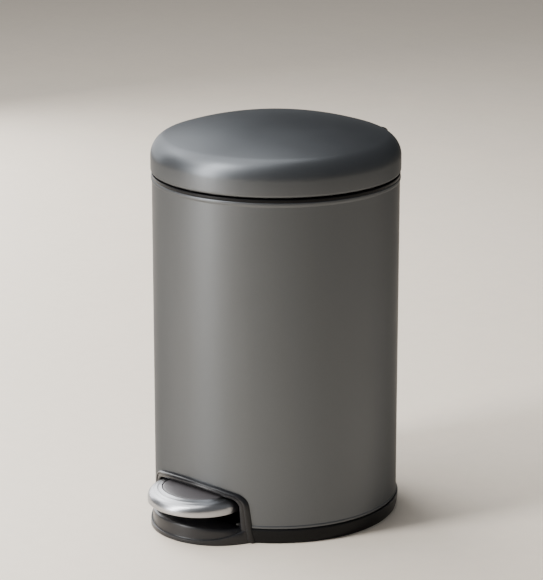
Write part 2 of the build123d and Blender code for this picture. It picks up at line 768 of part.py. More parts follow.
def rod_guide(low):
    """Plastic guide on the inside of the shell."""
    guide = block((-9, 9), (ROD_Y - 5, 130), (low, low + GUIDE_TALL))
    guide &= cylinder_to(CAN_RADIUS - STEEL)
    return guide - post(0, ROD_Y, low - 1, low + GUIDE_TALL + 1, ROD_RADIUS + 0.08)


def rod_clamp():
    """Clamp on the rod that carries the damper's piston rod."""
    clamp = block((-5, DAMPER_X + 4), (ROD_Y - 5, ROD_Y + 5), (CLAMP_Z, CLAMP_Z + CLAMP_TALL))
    clamp -= post(0, ROD_Y, 0, 300, ROD_RADIUS)
    clamp -= post(DAMPER_X, DAMPER_Y, 0, 300, DAMPER_ROD)
    return clamp - across(-6, -3, ROD_Y, CLAMP_Z + CLAMP_TALL / 2, 1.5)


def rod_clamp_screw():
    z = CLAMP_Z + CLAMP_TALL / 2
    shank = across(-5, -ROD_RADIUS, ROD_Y, z, 1.5) - post(0, ROD_Y, 0, 300, ROD_RADIUS)
    shank &= across(-6, -3, ROD_Y, z, 1.5)
    return shank + across(-7, -5, ROD_Y, z, 2.8)


def damper_piston():
    head = post(DAMPER_X, DAMPER_Y, DAMPER_LOW + 6, DAMPER_LOW + 12, 4.4)
    return head + post(DAMPER_X, DAMPER_Y, DAMPER_LOW + 11, CLAMP_Z + CLAMP_TALL, DAMPER_ROD)


def damper_cylinder():
    tube = post(DAMPER_X, DAMPER_Y, DAMPER_LOW, DAMPER_HIGH, DAMPER_RADIUS)
    return tube - post(DAMPER_X, DAMPER_Y, DAMPER_LOW + 2, DAMPER_HIGH + 1, DAMPER_BORE)


def damper_cap():
    cap = post(DAMPER_X, DAMPER_Y, DAMPER_HIGH, DAMPER_HIGH + 3, DAMPER_RADIUS)
    cap += post(DAMPER_X, DAMPER_Y, DAMPER_HIGH - 4, DAMPER_HIGH, DAMPER_BORE)
    return cap - post(DAMPER_X, DAMPER_Y, DAMPER_HIGH - 5, DAMPER_HIGH + 4, DAMPER_ROD + 0.08)


def damper_bracket():
    """Saddle that holds the damper to the inside of the shell."""
    xs = (DAMPER_X - 8, DAMPER_X + 8)
    saddle = block(xs, (DAMPER_Y - 2, 130), (DAMPER_LOW + 30, DAMPER_LOW + 60))
    saddle &= cylinder_to(CAN_RADIUS - STEEL)
    return saddle - post(DAMPER_X, DAMPER_Y, 0, 300, DAMPER_RADIUS)


# ---------------------------------------------------------------- bucket


def inner_bucket():
    """Plastic bucket that hangs in the collar, with two lugs for its handle."""
    wall = BUCKET_WALL
    bucket = turned(
        [
            (0, BUCKET_UNDER),
            (BUCKET_FOOT, BUCKET_UNDER),
            (BUCKET_RADIUS, BUCKET_TOP - 2.2),
            (BUCKET_RIM, BUCKET_TOP - 2.2),
            (BUCKET_RIM, BUCKET_TOP),
            (BUCKET_RADIUS - wall, BUCKET_TOP),
            (BUCKET_FOOT - wall, BUCKET_UNDER + wall),
            (0, BUCKET_UNDER + wall),
        ]
    )
    bucket -= block((-22, 22), (NOTCH_FROM - 1.2, 130), (SEAT_Z - 20, SEAT_Z + 10))
    for side in (-1, 1):
        near, far = sorted((side * LUG_IN, side * LUG_OUT))
        half = LUG_RADIUS
        low = BUCKET_TOP - 1
        lug = outline([(-half, low), (half, low), (half, BAIL_Z), (-half, BAIL_Z)])
        lug += Pos(0, BAIL_Z) * Circle(half)
        bucket += along_x(near, far, lug)
    return bucket - across(-120, 120, 0, BAIL_Z, BAIL_WIRE + 0.08)


def bucket_handle():
    """Wire bail, folded down to the front, with its ends turned in through the lugs."""
    ends = (BAIL_RADIUS, 0, BAIL_Z), (-BAIL_RADIUS, 0, BAIL_Z)
    path = ThreePointArc(ends[0], (0, -BAIL_RADIUS, BAIL_Z), ends[1])
    section = Plane(origin=(BAIL_RADIUS, 0, BAIL_Z), z_dir=(0, -1, 0)) * Circle(BAIL_WIRE)
    wire = sweep(section, path)
    for side in (-1, 1):
        near, far = sorted((side * (LUG_IN - 2.5), side * BAIL_RADIUS))
        wire += across(near, far, 0, BAIL_Z, BAIL_WIRE)
        wire += Pos(side * BAIL_RADIUS, 0, BAIL_Z) * Sphere(BAIL_WIRE)
    return wire


def handle_grip():
    """Moulded sleeve round the middle of the bail."""
    half = math.radians(GRIP_HALF_ANGLE)
    start = (BAIL_RADIUS * math.sin(half), -BAIL_RADIUS * math.cos(half), BAIL_Z)
    end = (-start[0], start[1], BAIL_Z)
    path = ThreePointArc(start, (0, -BAIL_RADIUS, BAIL_Z), end)
    aim = (-math.cos(half), -math.sin(half), 0)
    outer = sweep(Plane(origin=start, z_dir=aim) * Circle(BAIL_WIRE + GRIP_WALL), path)
    return outer - sweep(Plane(origin=start, z_dir=aim) * Circle(BAIL_WIRE), path)


# ---------------------------------------------------------------- screws under the can


def base_screws():
    screws = Part()
    for x, y in BASE_SCREWS:
        screws += post(x, y, PAN_FLOOR_UNDER, PAN_FLOOR_TOP + 6, 1.6)
        screws += post(x, y, PAN_FLOOR_UNDER - HEAD_TALL, PAN_FLOOR_UNDER, HEAD)
    return screws


def housing_screws():
    screws = Part()
    for x, y in HOUSING_SCREWS:
        top = PAN_FLOOR_TOP + 2.5
        screws += post(x, y, PAN_FLOOR_TOP, top, 1.7)
        screws += post(x, y, top, top + HEAD_TALL, HEAD)
    return screws


PARTS = {
    "outer_shell": outer_shell,
    "base_pan": base_pan,
    "base_pads": base_pads,
    "base_screws": base_screws,
    "pedal_housing": pedal_housing,
    "housing_screws": housing_screws,
    "top_collar": top_collar,
    "lid_shell": lid_shell,
    "lid_liner": lid_liner,
    "lid_bumpers": lid_bumpers,
    "lid_hinge_arm": lid_hinge_arm,
    "lid_hinge_cover": lid_hinge_cover,
    "lid_screws": lid_screws,
    "hinge_bushes": hinge_bushes,
    "arm_pin": arm_pin,
    "hinge_bracket": hinge_bracket,
    "hinge_pin": hinge_pin,
    "hinge_pin_clips": hinge_pin_clips,
    "hinge_screws": hinge_screws,
    "hinge_nut_plate": hinge_nut_plate,
    "pedal_cover": pedal_cover,
    "pedal_pad": pedal_pad,
    "pedal_lever": pedal_lever,
    "pedal_bushes": pedal_bushes,
    "pedal_screws": pedal_screws,
    "lever_pin": lever_pin,
    "pivot_bracket_left": lambda: pivot_bracket(-1),
    "pivot_bracket_right": lambda: pivot_bracket(1),
    "bracket_screws": bracket_screws,
    "pedal_pivot_pin": pedal_pivot_pin,
    "pivot_clips": pivot_clips,
    "lever_rest_pad": lever_rest_pad,
    "lift_rod": lift_rod,
    "rod_guide_lower": lambda: rod_guide(GUIDE_LOWER),
    "rod_guide_upper": lambda: rod_guide(GUIDE_UPPER),
    "rod_clamp": rod_clamp,
    "rod_clamp_screw": rod_clamp_screw,
    "damper_cylinder": damper_cylinder,
    "damper_cap": damper_cap,
    "damper_piston": damper_piston,
    "damper_bracket": damper_bracket,
    "inner_bucket": inner_bucket,
    "bucket_handle": bucket_handle,
    "handle_grip": handle_grip,
}

os.makedirs("parts", exist_ok=True)
for name, make in PARTS.items():
    export_step(make(), f"parts/{name}.step")
    print(name)
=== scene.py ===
import json
import math

import bmesh
import bpy
from mathutils import Matrix, Vector


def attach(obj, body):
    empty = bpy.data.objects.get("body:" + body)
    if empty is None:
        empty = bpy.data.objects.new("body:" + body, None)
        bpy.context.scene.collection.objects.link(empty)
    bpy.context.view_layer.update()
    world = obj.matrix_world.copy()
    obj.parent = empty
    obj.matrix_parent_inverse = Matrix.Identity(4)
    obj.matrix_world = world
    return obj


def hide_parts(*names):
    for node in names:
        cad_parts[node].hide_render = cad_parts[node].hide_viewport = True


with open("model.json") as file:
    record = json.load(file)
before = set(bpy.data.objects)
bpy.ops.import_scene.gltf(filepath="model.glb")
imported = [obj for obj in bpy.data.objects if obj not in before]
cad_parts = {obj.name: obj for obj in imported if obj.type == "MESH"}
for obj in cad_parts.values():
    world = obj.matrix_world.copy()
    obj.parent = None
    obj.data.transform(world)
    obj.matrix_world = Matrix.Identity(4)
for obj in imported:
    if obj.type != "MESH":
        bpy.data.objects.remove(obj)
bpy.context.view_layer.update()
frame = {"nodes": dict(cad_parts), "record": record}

# Lengths below are millimetres in the shared frame; mesh helpers turn them into metres.
MM = 0.001
ROUND = 288

# ---- can and lid, as in the CAD ----
CAN = 125.0
STEEL = 0.8
SHELL_FOOT = 15.6
SHELL_TOP = 349.3
LID_RADIUS = 126.2
LID_BOTTOM = 353.9
LID_SKIRT = 369.6
LID_SHOULDER = 21.8
LID_DOME = 344.0
LID_HEM = 3.0
LID_HEM_SWEEP = 75.0
LID_NOTCH_HALF = 27.0
LID_NOTCH_TOP = 377.0

# ---- collar, bucket and hinge, as in the CAD ----
COLLAR_TOP = 352.4
COLLAR_RADIUS = 125.5
SEAT_Z = 349.4
SEAT_RADIUS = 110.6
STAND_RADIUS = 123.9
MOUTH_RADIUS = 105.5
BUCKET_TOP = 352.0
BAIL_Z = 355.2
BAIL_RADIUS = 107.6
COWL_HALF = 30.0
COWL_RADIUS = 143.5
COWL_BOTTOM = 365.0
COWL_TOP = 379.0
WING_TOP = 361.6
SCREW_X = 14.0
LID_SCREW_Y = 116.0

# ---- pedal and housing ----
PEDAL_CENTRE = -118.0
PEDAL_REACH = 47.0
PEDAL_HALF = 51.5
PEDAL_BACK = -104.5
PAD_HALF = 37.4
PAD_REACH = 31.4
PLINTH_CENTRE = -102.5
PLINTH_REACH = 51.7
PLINTH_HALF = 62.2
LEDGE_CREST = 18.6
HOUSING_BACK = 121.9


# ------------------------------------------------------------ mesh helpers


def add_object(name, mesh):
    obj = bpy.data.objects.new(name, mesh)
    bpy.context.scene.collection.objects.link(obj)
    return obj


def shade(obj, degrees=32.0):
    """Smooth shading, with every edge sharper than the angle kept crisp."""
    bm = bmesh.new()
    bm.from_mesh(obj.data)
    bmesh.ops.recalc_face_normals(bm, faces=bm.faces)
    limit = math.radians(degrees)
    for edge in bm.edges:
        if len(edge.link_faces) == 2:
            edge.smooth = edge.calc_face_angle(0) < limit
    for face in bm.faces:
        face.smooth = True
    bm.to_mesh(obj.data)
    bm.free()
    return obj


def skin(name, rows, around=False, along=False, caps=False):
    """A mesh through rows of points; around closes each row, along joins last row to first."""
    bm = bmesh.new()
    grid = [[bm.verts.new(Vector(p) * MM) for p in row] for row in rows]
    count = len(rows[0])
    lanes = count if around else count - 1
    steps = len(rows) if along else len(rows) - 1
    for i in range(steps):
        here, there = grid[i], grid[(i + 1) % len(rows)]
        for j in range(lanes):
            k = (j + 1) % count
            bm.faces.new((here[j], here[k], there[k], there[j]))
    if caps:
        bm.faces.new(grid[0])
        bm.faces.new(grid[-1])
    bmesh.ops.remove_doubles(bm, verts=bm.verts, dist=1e-7)
    bmesh.ops.dissolve_degenerate(bm, edges=bm.edges, dist=1e-7)
    mesh = bpy.data.meshes.new(name)
    bm.to_mesh(mesh)
    bm.free()
    return shade(add_object(name, mesh))


def lathe(name, profile, steps=ROUND, closed=True):
    """Turn (radius, height) points about the can's axis."""
    rows = []
    for i in range(steps):
        angle = 2 * math.pi * i / steps
        c, s = math.cos(angle), math.sin(angle)
        rows.append([(r * c, r * s, z) for r, z in profile])
    return skin(name, rows, around=closed, along=True)


def rounded(points, radius, steps=5, closed=True):
    """Round every corner of a 2-D outline; radius is one value or one for each corner."""
    count = len(points)
    radii = radius if isinstance(radius, (list, tuple)) else [radius] * count
    path = []
    for i, point in enumerate(points):
        corner = Vector(point)
        if not closed and i in (0, count - 1) or radii[i] <= 0:
            path.append(tuple(corner))
            continue
        before = Vector(points[i - 1]) - corner
        after = Vector(points[(i + 1) % count]) - corner
        reach = min(radii[i], before.length * 0.49, after.length * 0.49)
        start = corner + before.normalized() * reach
        end = corner + after.normalized() * reach
        for k in range(steps + 1):
            t = k / steps
            path.append(tuple(start * (1 - t) ** 2 + corner * 2 * t * (1 - t) + end * t**2))
    return path


def tube(name, path, radii, sides=24):
    """A round bar along a level path; radii is one value or one for each point."""
    rows = []
    last = len(path) - 1
    for i, point in enumerate(path):
        ahead = Vector(path[min(i + 1, last)]) - Vector(path[max(i - 1, 0)])
        side = ahead.cross(Vector((0, 0, 1))).normalized()
        r = radii[i] if isinstance(radii, list) else radii
        row = []
        for k in range(sides):
            angle = 2 * math.pi * k / sides
            row.append(Vector(point) + side * r * math.cos(angle) + Vector((0, 0, r * math.sin(angle))))
        rows.append(row)
    return skin(name, rows, around=True, caps=True)


def settle(obj):
    """Apply the modifiers on an object."""
    bpy.context.view_layer.update()
    graph = bpy.context.evaluated_depsgraph_get()
    mesh = bpy.data.meshes.new_from_object(obj.evaluated_get(graph))
    obj.modifiers.clear()
    old = obj.data
    obj.data = mesh
    bpy.data.meshes.remove(old)
    return obj


def carve(obj, *cutters):
    """Cut closed meshes out of an object and delete them."""
    for cutter in cutters:
        cut = obj.modifiers.new("cut", "BOOLEAN")
        cut.operation = "DIFFERENCE"
        cut.solver = "EXACT"
        cut.object = cutter
    settle(obj)
    for cutter in cutters:
        bpy.data.objects.remove(cutter)
    return shade(obj)


def prism(name, outline, place):
    """A closed prism: outline points through place(u, v, end) for end 0 and 1."""
    return skin(name, [[place(u, v, end) for u, v in outline] for end in (0, 1)], around=True, caps=True)


def box_mesh(name, xs, ys, zs):
    outline = [(xs[0], ys[0]), (xs[1], ys[0]), (xs[1], ys[1]), (xs[0], ys[1])]
    return prism(name, outline, lambda u, v, end: (u, v, zs[end]))


def bevelled(obj, width, segments=3):
    """Soften the sharp edges of an object."""
    bevel = obj.modifiers.new("bevel", "BEVEL")
    bevel.width = width * MM
    bevel.segments = segments
    bevel.limit_method = "ANGLE"
    bevel.angle_limit = math.radians(35)
    bevel.harden_normals = False
    return shade(settle(obj), 40)


# ------------------------------------------------------------ materials


def material(name, colour, vary=0.12, grain=900.0, rough=0.4, rough_vary=0.06, metallic=0.0, bump=0.02,
             bump_grain=1400.0, stretch=(1, 1, 1), coat=0.0, aniso=0.0, spec=0.5, edge=1.0):
    """A procedural finish: mottled colour, uneven roughness and a fine relief."""
    mat = bpy.data.materials.new(name)
    mat.use_nodes = True
    nodes, links = mat.node_tree.nodes, mat.node_tree.links
    shader = nodes["Principled BSDF"]
    shader.inputs["Metallic"].default_value = metallic
    shader.inputs["Coat Weight"].default_value = coat
    shader.inputs["Coat Roughness"].default_value = 0.25
    shader.inputs["Anisotropic"].default_value = aniso
    shader.inputs["Specular IOR Level"].default_value = spec
    shader.inputs["Specular Tint"].default_value = (edge, edge, edge, 1)
    where = nodes.new("ShaderNodeTexCoord")
    mapping = nodes.new("ShaderNodeMapping")
    mapping.inputs["Scale"].default_value = stretch
    links.new(where.outputs["Object"], mapping.inputs["Vector"])

    def noise(scale, detail):
        tex = nodes.new("ShaderNodeTexNoise")
        tex.inputs["Scale"].default_value = scale
        tex.inputs["Detail"].default_value = detail
        links.new(mapping.outputs["Vector"], tex.inputs["Vector"])
        return tex.outputs["Fac"]

    fine, broad = noise(grain, 3), noise(14.0, 3)
    both = nodes.new("ShaderNodeMath")
    both.operation = "MULTIPLY_ADD"
    both.inputs[1].default_value = 0.35
    links.new(broad, both.inputs[0])
    links.new(fine, both.inputs[2])
    ramp = nodes.new("ShaderNodeValToRGB")
    ramp.color_ramp.elements[0].position = 0.45
    ramp.color_ramp.elements[1].position = 0.9
    ramp.color_ramp.elements[0].color = [c * (1 - vary) for c in colour] + [1]
    ramp.color_ramp.elements[1].color = [c * (1 + vary) for c in colour] + [1]
    links.new(both.outputs[0], ramp.inputs["Fac"])
    links.new(ramp.outputs["Color"], shader.inputs["Base Color"])
    spread = nodes.new("ShaderNodeMapRange")
    spread.inputs["From Min"].default_value = 0.3
    spread.inputs["From Max"].default_value = 0.7
    spread.inputs["To Min"].default_value = rough - rough_vary
    spread.inputs["To Max"].default_value = rough + rough_vary
    links.new(broad, spread.inputs["Value"])
    links.new(spread.outputs["Result"], shader.inputs["Roughness"])
    relief = nodes.new("ShaderNodeBump")
    relief.inputs["Strength"].default_value = 0.6
    relief.inputs["Distance"].default_value = bump * MM
    links.new(noise(bump_grain, 2), relief.inputs["Height"])
    links.new(relief.outputs["Normal"], shader.inputs["Normal"])
    return mat


FINISH = {
    "coated_steel": material("coated_steel", (0.114, 0.121, 0.129), 0.07, 2600, 0.37, 0.03, 0.85, 0.012, 2400,
                             edge=0.35),
    "black_plastic": material("black_plastic", (0.006, 0.006, 0.0065), 0.25, 700, 0.4, 0.05, bump=0.02,
                              spec=0.15),
    "housing_plastic": material("housing_plastic", (0.011, 0.011, 0.013), 0.15, 900, 0.33, 0.04, bump=0.015,
                                spec=0.4),
    "pedal_silver": material("pedal_silver", (0.4, 0.405, 0.42), 0.06, 1500, 0.29, 0.04, 1.0, 0.008, 900,
                             stretch=(0.12, 1, 1), edge=0.8),
    "pad_plastic": material("pad_plastic", (0.07, 0.065, 0.068), 0.1, 1100, 0.42, 0.05, bump=0.02),
    "liner_plastic": material("liner_plastic", (0.03, 0.03, 0.032), 0.2, 500, 0.5, 0.08, bump=0.04),
    "bucket_plastic": material("bucket_plastic", (0.045, 0.045, 0.048), 0.18, 420, 0.46, 0.08, bump=0.05,
                               bump_grain=800),
    "zinc_steel": material("zinc_steel", (0.55, 0.56, 0.57), 0.16, 260, 0.34, 0.1, 1.0, 0.01, 1600),
    "bright_wire": material("bright_wire", (0.68, 0.68, 0.69), 0.06, 1200, 0.16, 0.05, 1.0, 0.004, 1800),
    "rubber": material("rubber", (0.018, 0.018, 0.018), 0.3, 800, 0.75, 0.08, bump=0.05, bump_grain=1000),
    "nylon": material("nylon", (0.52, 0.5, 0.44), 0.08, 600, 0.5, 0.06, bump=0.02),
}
SLOT = {row["node"]: row["material_slot"] for row in frame["record"]["subparts"]}
BODY = {node: body for body, nodes in frame["record"]["behaviour"]["bodies"].items() for node in nodes}


def finish_piece(obj, node):
    """Give a new piece its CAD node's body, finish and place."""
    obj.data.materials.clear()
    obj.data.materials.append(FINISH[SLOT[node]])
    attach(obj, BODY[node])
    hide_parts(node)
    return obj


# ------------------------------------------------------------ can, collar, base


def circle_point(centre, radius, degrees):
    angle = math.radians(degrees)
    return (centre[0] + radius * math.cos(angle), centre[1] + radius * math.sin(angle))


def arc(centre, radius, start, stop, steps):
    return [circle_point(centre, radius, start + (stop - start) * i / steps) for i in range(steps + 1)]


def housing_sections(grow):
    """The housing's outer edge in (x, z), from the right foot over the crown to the left."""
    foot, side, shoulder = 68.0 + grow, (63.4 + grow, 38.0), (51.5 + grow * 0.7, 50.6 + grow)
    return arch(((foot, 0), side), (side, shoulder, 6.0), (shoulder, 57.2 + grow))


def mouth_sections(grow=0.0):
    """The mouth's edge in (x, z), matched point for point with the outer edge."""
    low, side, shoulder = (56.6 + grow, 13.0), (55.6 + grow, 38.0), (46.5 + grow * 0.7, 45.2 + grow)
    return arch((low, side), (side, shoulder, 3.4), (shoulder, 50.3 + grow))


def arch(leg, corner, crown):
    """A symmetric arch: a straight leg, a bulging corner and a low crown."""
    right = [Vector(leg[0]).lerp(Vector(leg[1]), i / 14) for i in range(14)]
    start, end, bulge = Vector(corner[0]), Vector(corner[1]), corner[2]
    middle = (start + end) / 2 + Vector((end.y - start.y, start.x - end.x)).normalized() * bulge
    for i in range(14):
        t = i / 14
        right.append(start * (1 - t) ** 2 + middle * 2 * t * (1 - t) + end * t**2)
    x, low = crown[0]
    rise = crown[1] - low
    for i in range(24):
        at = x * (1 - i / 24)
        right.append(Vector((at, low + rise * (1 - (at / x) ** 2))))
    left = [Vector((-p.x, p.y)) for p in reversed(right)]
    return right + [Vector((0, crown[1]))] + left


def outer_shell():
    inner = CAN - STEEL
    points = [
        (inner, SHELL_FOOT),
        (CAN + 0.6, SHELL_FOOT),
        (CAN + 0.6, SHELL_FOOT + 2.2),
        (CAN, SHELL_FOOT + 2.9),
        (CAN, SHELL_TOP - 4.1),
        (CAN + 0.8, SHELL_TOP - 2.8),
        (CAN + 0.8, SHELL_TOP),
        (inner, SHELL_TOP),
    ]
    profile = rounded(points, [0, 0.6, 0.6, 0.6, 0.8, 0.9, 0.9, 0.3])
    shell = lathe("outer_shell_skin", profile)
    window = [tuple(p) for p in housing_sections(-3.2)]
    window[0], window[-1] = (window[0][0], 5.0), (window[-1][0], 5.0)
    cutter = prism("window", window, lambda u, v, end: (u, (-140, -90)[end], v))
    return finish_piece(carve(shell, cutter), "outer_shell")


def base_pan():
    curve = [(124.0, 0.0), (124.8, 0.4), (125.9, 3.5), (126.6, 8.0), (127.0, 14.0)]
    rest = [(126.4, 15.0), (123.9, 15.0), (123.9, 28), (121.4, 28), (121.4, 5.5), (0.01, 5.5), (0.01, 3.0)]
    under = [(118.9, 3.0), (118.9, 0.0)]
    profile = rounded(curve + rest + under, [0.4, 0.6, 3, 4, 0.8, 0.6, 0.5, 0.5, 0.5, 1.5, 0, 0, 1, 0.5])
    pan = lathe("base_pan_skin", profile)
    outline = [tuple(p) for p in housing_sections(0.4)]
    outline[0], outline[-1] = (outline[0][0], -2.0), (outline[-1][0], -2.0)
    cutter = prism("front", outline, lambda u, v, end: (u, (-160, -100)[end], v))
    return finish_piece(carve(pan, cutter), "base_pan")


def top_collar():
    points = [
        (MOUTH_RADIUS, SEAT_Z - 3), (STAND_RADIUS - 2, SEAT_Z - 3), (STAND_RADIUS - 2, SEAT_Z - 12),
        (STAND_RADIUS, SEAT_Z - 12), (STAND_RADIUS, SHELL_TOP), (COLLAR_RADIUS, SHELL_TOP),
        (COLLAR_RADIUS, COLLAR_TOP), (SEAT_RADIUS, COLLAR_TOP), (SEAT_RADIUS, SEAT_Z), (MOUTH_RADIUS, SEAT_Z),
    ]
    collar = lathe("top_collar_ring", rounded(points, 0.7))
    notch = box_mesh("notch", (-14, 14), (107, 130), (SEAT_Z - 20, SEAT_Z + 10))
    return finish_piece(carve(collar, notch), "top_collar")


# ------------------------------------------------------------ lid


def lid_curve(inset, hem_inset=None):
    """Half-section of the lid from its crown down to the rolled edge."""
    shoulder_at = (LID_RADIUS - LID_SHOULDER, LID_SKIRT)
    reach = LID_DOME - LID_SHOULDER
    drop = math.sqrt(reach**2 - shoulder_at[0] ** 2)
    meets = math.degrees(math.atan2(drop, shoulder_at[0]))
    curve = arc((0, LID_SKIRT - drop), LID_DOME - inset, 90, meets, 30)
    curve[0] = (0.01, curve[0][1])
    curve += arc(shoulder_at, LID_SHOULDER - inset, meets, 0, 20)[1:]
    if hem_inset is None:
        return curve
    hem_at = (LID_RADIUS - LID_HEM, LID_BOTTOM + LID_HEM)
    return curve + arc(hem_at, LID_HEM - hem_inset, 0, -LID_HEM_SWEEP, 10)


def lid_notch(margin):
    """The gap in the lid's back edge that the hinge passes through."""
    half = LID_NOTCH_HALF + margin
    return box_mesh("notch", (-half, half), (95, 150), (LID_BOTTOM - 10, LID_NOTCH_TOP + margin))


def lid_shell():
    outer = lid_curve(0, 0)
    inner = lid_curve(STEEL, STEEL)
    shell = lathe("lid_shell_skin", outer + inner[::-1])
    return finish_piece(carve(shell, lid_notch(0)), "lid_shell")


def lid_liner():
    near, wall = 1.0, 1.6
    outer = lid_curve(near)
    inner = lid_curve(near + wall)
    edge = LID_RADIUS - near
    low = LID_BOTTOM + LID_HEM + 0.2
    flange = [(edge, low), (115, low), (115, low + wall), (edge - wall, low + wall)]
    foot = rounded(flange, [0.3, 0.6, 0.6, 0.8])
    liner = lathe("lid_liner_skin", outer + foot + inner[::-1])
    carve(liner, lid_notch(1))
    finish_piece(liner, "lid_liner")
    for side in (-1, 1):
        section = rounded([(1.5, WING_TOP), (4.5, WING_TOP), (4.8, 390), (1.5, 390)], 0.4)
        boss = lathe(f"lid_liner_boss_{side + 1}", section, 32)
        boss.data.transform(Matrix.Translation((side * SCREW_X * MM, LID_SCREW_Y * MM, 0)))
        for vertex in boss.data.vertices:
            out = math.hypot(vertex.co.x, vertex.co.y) / MM - (LID_RADIUS - LID_SHOULDER)
            under_lid = LID_SKIRT + math.sqrt((LID_SHOULDER - near - wall / 2) ** 2 - out**2)
            vertex.co.z = min(vertex.co.z, under_lid * MM)
        boss.data.materials.append(FINISH["liner_plastic"])
        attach(boss, "lid")
    return liner


# ------------------------------------------------------------ pedal


def half_oval(half, reach, centre, back, steps=72):
    """Plan outline: straight right side, half oval in front, straight left side."""
    straight = [(half, back + (centre - back) * i / 6) for i in range(6)]
    front = []
    for i in range(steps + 1):
        angle = math.pi * i / steps
        front.append((half * math.cos(angle), centre - reach * math.sin(angle)))
    return straight + front + [(-x, y) for x, y in reversed(straight)]


def pedal_crown(x, y):
    """Height of the pedal's top: level at the back, falling to the front and the sides."""
    return 48.9 - 0.0042 * max(0.0, -120 - y) ** 2 - 0.0023 * x * x


def pedal_cover():
    outer = half_oval(PEDAL_HALF, PEDAL_REACH, PEDAL_CENTRE, PEDAL_BACK)
    inner = half_oval(PAD_HALF, PAD_REACH, PEDAL_CENTRE, PEDAL_BACK)
    rim = [(2.0, 31.8), (1.2, 31.2), (0.6, 31.25), (0.2, 31.6), (0.05, 32.3), (0.0, 33.6)]
    turn = [(0.15, 5.0), (0.6, 3.6), (1.4, 2.3), (2.6, 1.25), (4.2, 0.5), (5.8, 0.2)]
    rows = []
    for (xo, yo), (xi, yi) in zip(outer, inner):
        a, b = Vector((xo, yo)), Vector((xi, yi))
        width = (b - a).length
        across = (b - a).normalized()
        row = []
        for inset, z in rim:
            p = a + across * inset
            row.append((p.x, p.y, z))
        for inset, drop in turn:
            p = a + across * inset
            row.append((p.x, p.y, pedal_crown(p.x, p.y) - drop))
        for k in range(1, 11):
            t = k / 11
            p = a + across * (5.8 + (width - 6.6) * t)
            swell = 0.28 * math.exp(-(((t - 0.42) / 0.13) ** 2))
            row.append((p.x, p.y, pedal_crown(p.x, p.y) - 0.18 * (1 - t) + swell - 0.12))
        for inset, drop in ((0.5, 0.12), (0.15, 0.35), (0.0, 0.8), (0.0, 3.2), (1.6, 3.4)):
            p = b - across * inset
            row.append((p.x, p.y, pedal_crown(p.x, p.y) - drop))
        under = a + across * 2.6
        row.append((under.x, under.y, pedal_crown(under.x, under.y) - 3.4))
        rows.append(row)
    return finish_piece(skin("pedal_cover_cap", rows, around=True, caps=True), "pedal_cover")


def pedal_pad():
    edge = half_oval(PAD_HALF - 0.45, PAD_REACH - 0.45, PEDAL_CENTRE, PEDAL_BACK)
    heart = Vector((0, -112.0))
    rows = []
    rings = [(1, 6.0), (1, 1.3), (0.994, 0.7), (0.98, 0.42), (0.95, 0.4)]
    rings += [(0.85, 0.5), (0.6, 0.62), (0.3, 0.68), (0.02, 0.7)]
    for shrink, drop in rings:
        row = []
        for x, y in edge:
            p = heart.lerp(Vector((x, y)), shrink)
            row.append((p.x, p.y, pedal_crown(p.x, p.y) - drop))
        rows.append(row)
    return finish_piece(skin("pedal_pad_top", rows, around=True, caps=True), "pedal_pad")


# ------------------------------------------------------------ pedal housing


def on_can(x, z, radius):
    return (x, -math.sqrt(max(radius**2 - x * x, 0)), z)


def ledge_height(x):
    return LEDGE_CREST - 3.6 * (x / 64.0) ** 2


def pedal_bezel():
    """The arched frame: a rounded outer lip, a fine groove and a band that rolls into the mouth."""
    section = [
        (0.0, 122.5), (0.0, 126.6), (0.02, 127.7), (0.06, 128.5), (0.12, 129.1),
        (0.19, 129.3), (0.26, 129.15), (0.31, 128.7), (0.34, 128.35), (0.38, 128.3),
        (0.43, 128.5), (0.55, 128.8), (0.72, 128.75), (0.85, 128.4), (0.94, 127.8),
        (0.985, 127.1), (1.0, 126.3), (1.0, 122.0), (0.9, HOUSING_BACK), (0.3, HOUSING_BACK),
    ]
    rows = []
    for outer, inner in zip(housing_sections(0), mouth_sections()):
        row = []
        for share, radius in section:
            p = outer.lerp(inner, share)
            row.append(on_can(p.x, p.y, radius))
        rows.append(row)
    return skin("pedal_housing_bezel", rows, around=True, caps=True)


def pedal_plinth():
    """The foot in front of the bezel: a bottom lip, a drum wall and the ledge under the pedal."""
    rows = []
    steps = 96
    for i in range(steps + 1):
        angle = math.pi * i / steps
        c, s = math.cos(angle), math.sin(angle)
        wall_top = ledge_height(PLINTH_HALF * c * 0.95)
        lip = min(4.8 + 13.0 * (1 - s) ** 1.6, wall_top - 1.6)
        flare = 5.3 * max(0.0, 1 - s / 0.55) ** 2

        def at(inset, z, spread=0.0):
            x = (PLINTH_HALF - inset + spread * flare) * c
            return (x, PLINTH_CENTRE - (PLINTH_REACH - inset) * s, z)

        row = [at(3.6, 0, 1), at(1.0, 0, 1), at(0.3, 0.3, 1), at(0, 1, 1), at(0, lip * 0.5, 0.95)]
        row += [at(0, lip - 1, 0.7), at(0.15, lip - 0.4, 0.45)]
        row += [at(0.55, lip - 0.08, 0.3), at(1.1, lip, 0.15)]
        row += [at(1.6, lip - 0.1), at(1.8, lip + 0.2), at(1.9, lip + 0.8)]
        row += [at(2.3, (lip + wall_top) / 2)]
        row += [at(2.6, wall_top - 2.4), at(2.9, wall_top - 1.3), at(3.6, wall_top - 0.55)]
        row += [at(4.8, wall_top - 0.15), at(6.4, wall_top)]
        start = Vector(at(6.4, wall_top))
        x = start.x * 0.96
        front = Vector(on_can(x, wall_top, 128.0))
        back = Vector(on_can(x * 0.98, wall_top + 0.2, HOUSING_BACK))
        row += [tuple(start.lerp(front, 0.5)), tuple(front), tuple(back)]
        row += [(back.x, back.y, back.z - 3), (start.x * 0.99, start.y * 0.99, wall_top - 3)]
        rows.append(row)
    return skin("pedal_housing_plinth", rows, around=True, caps=True)


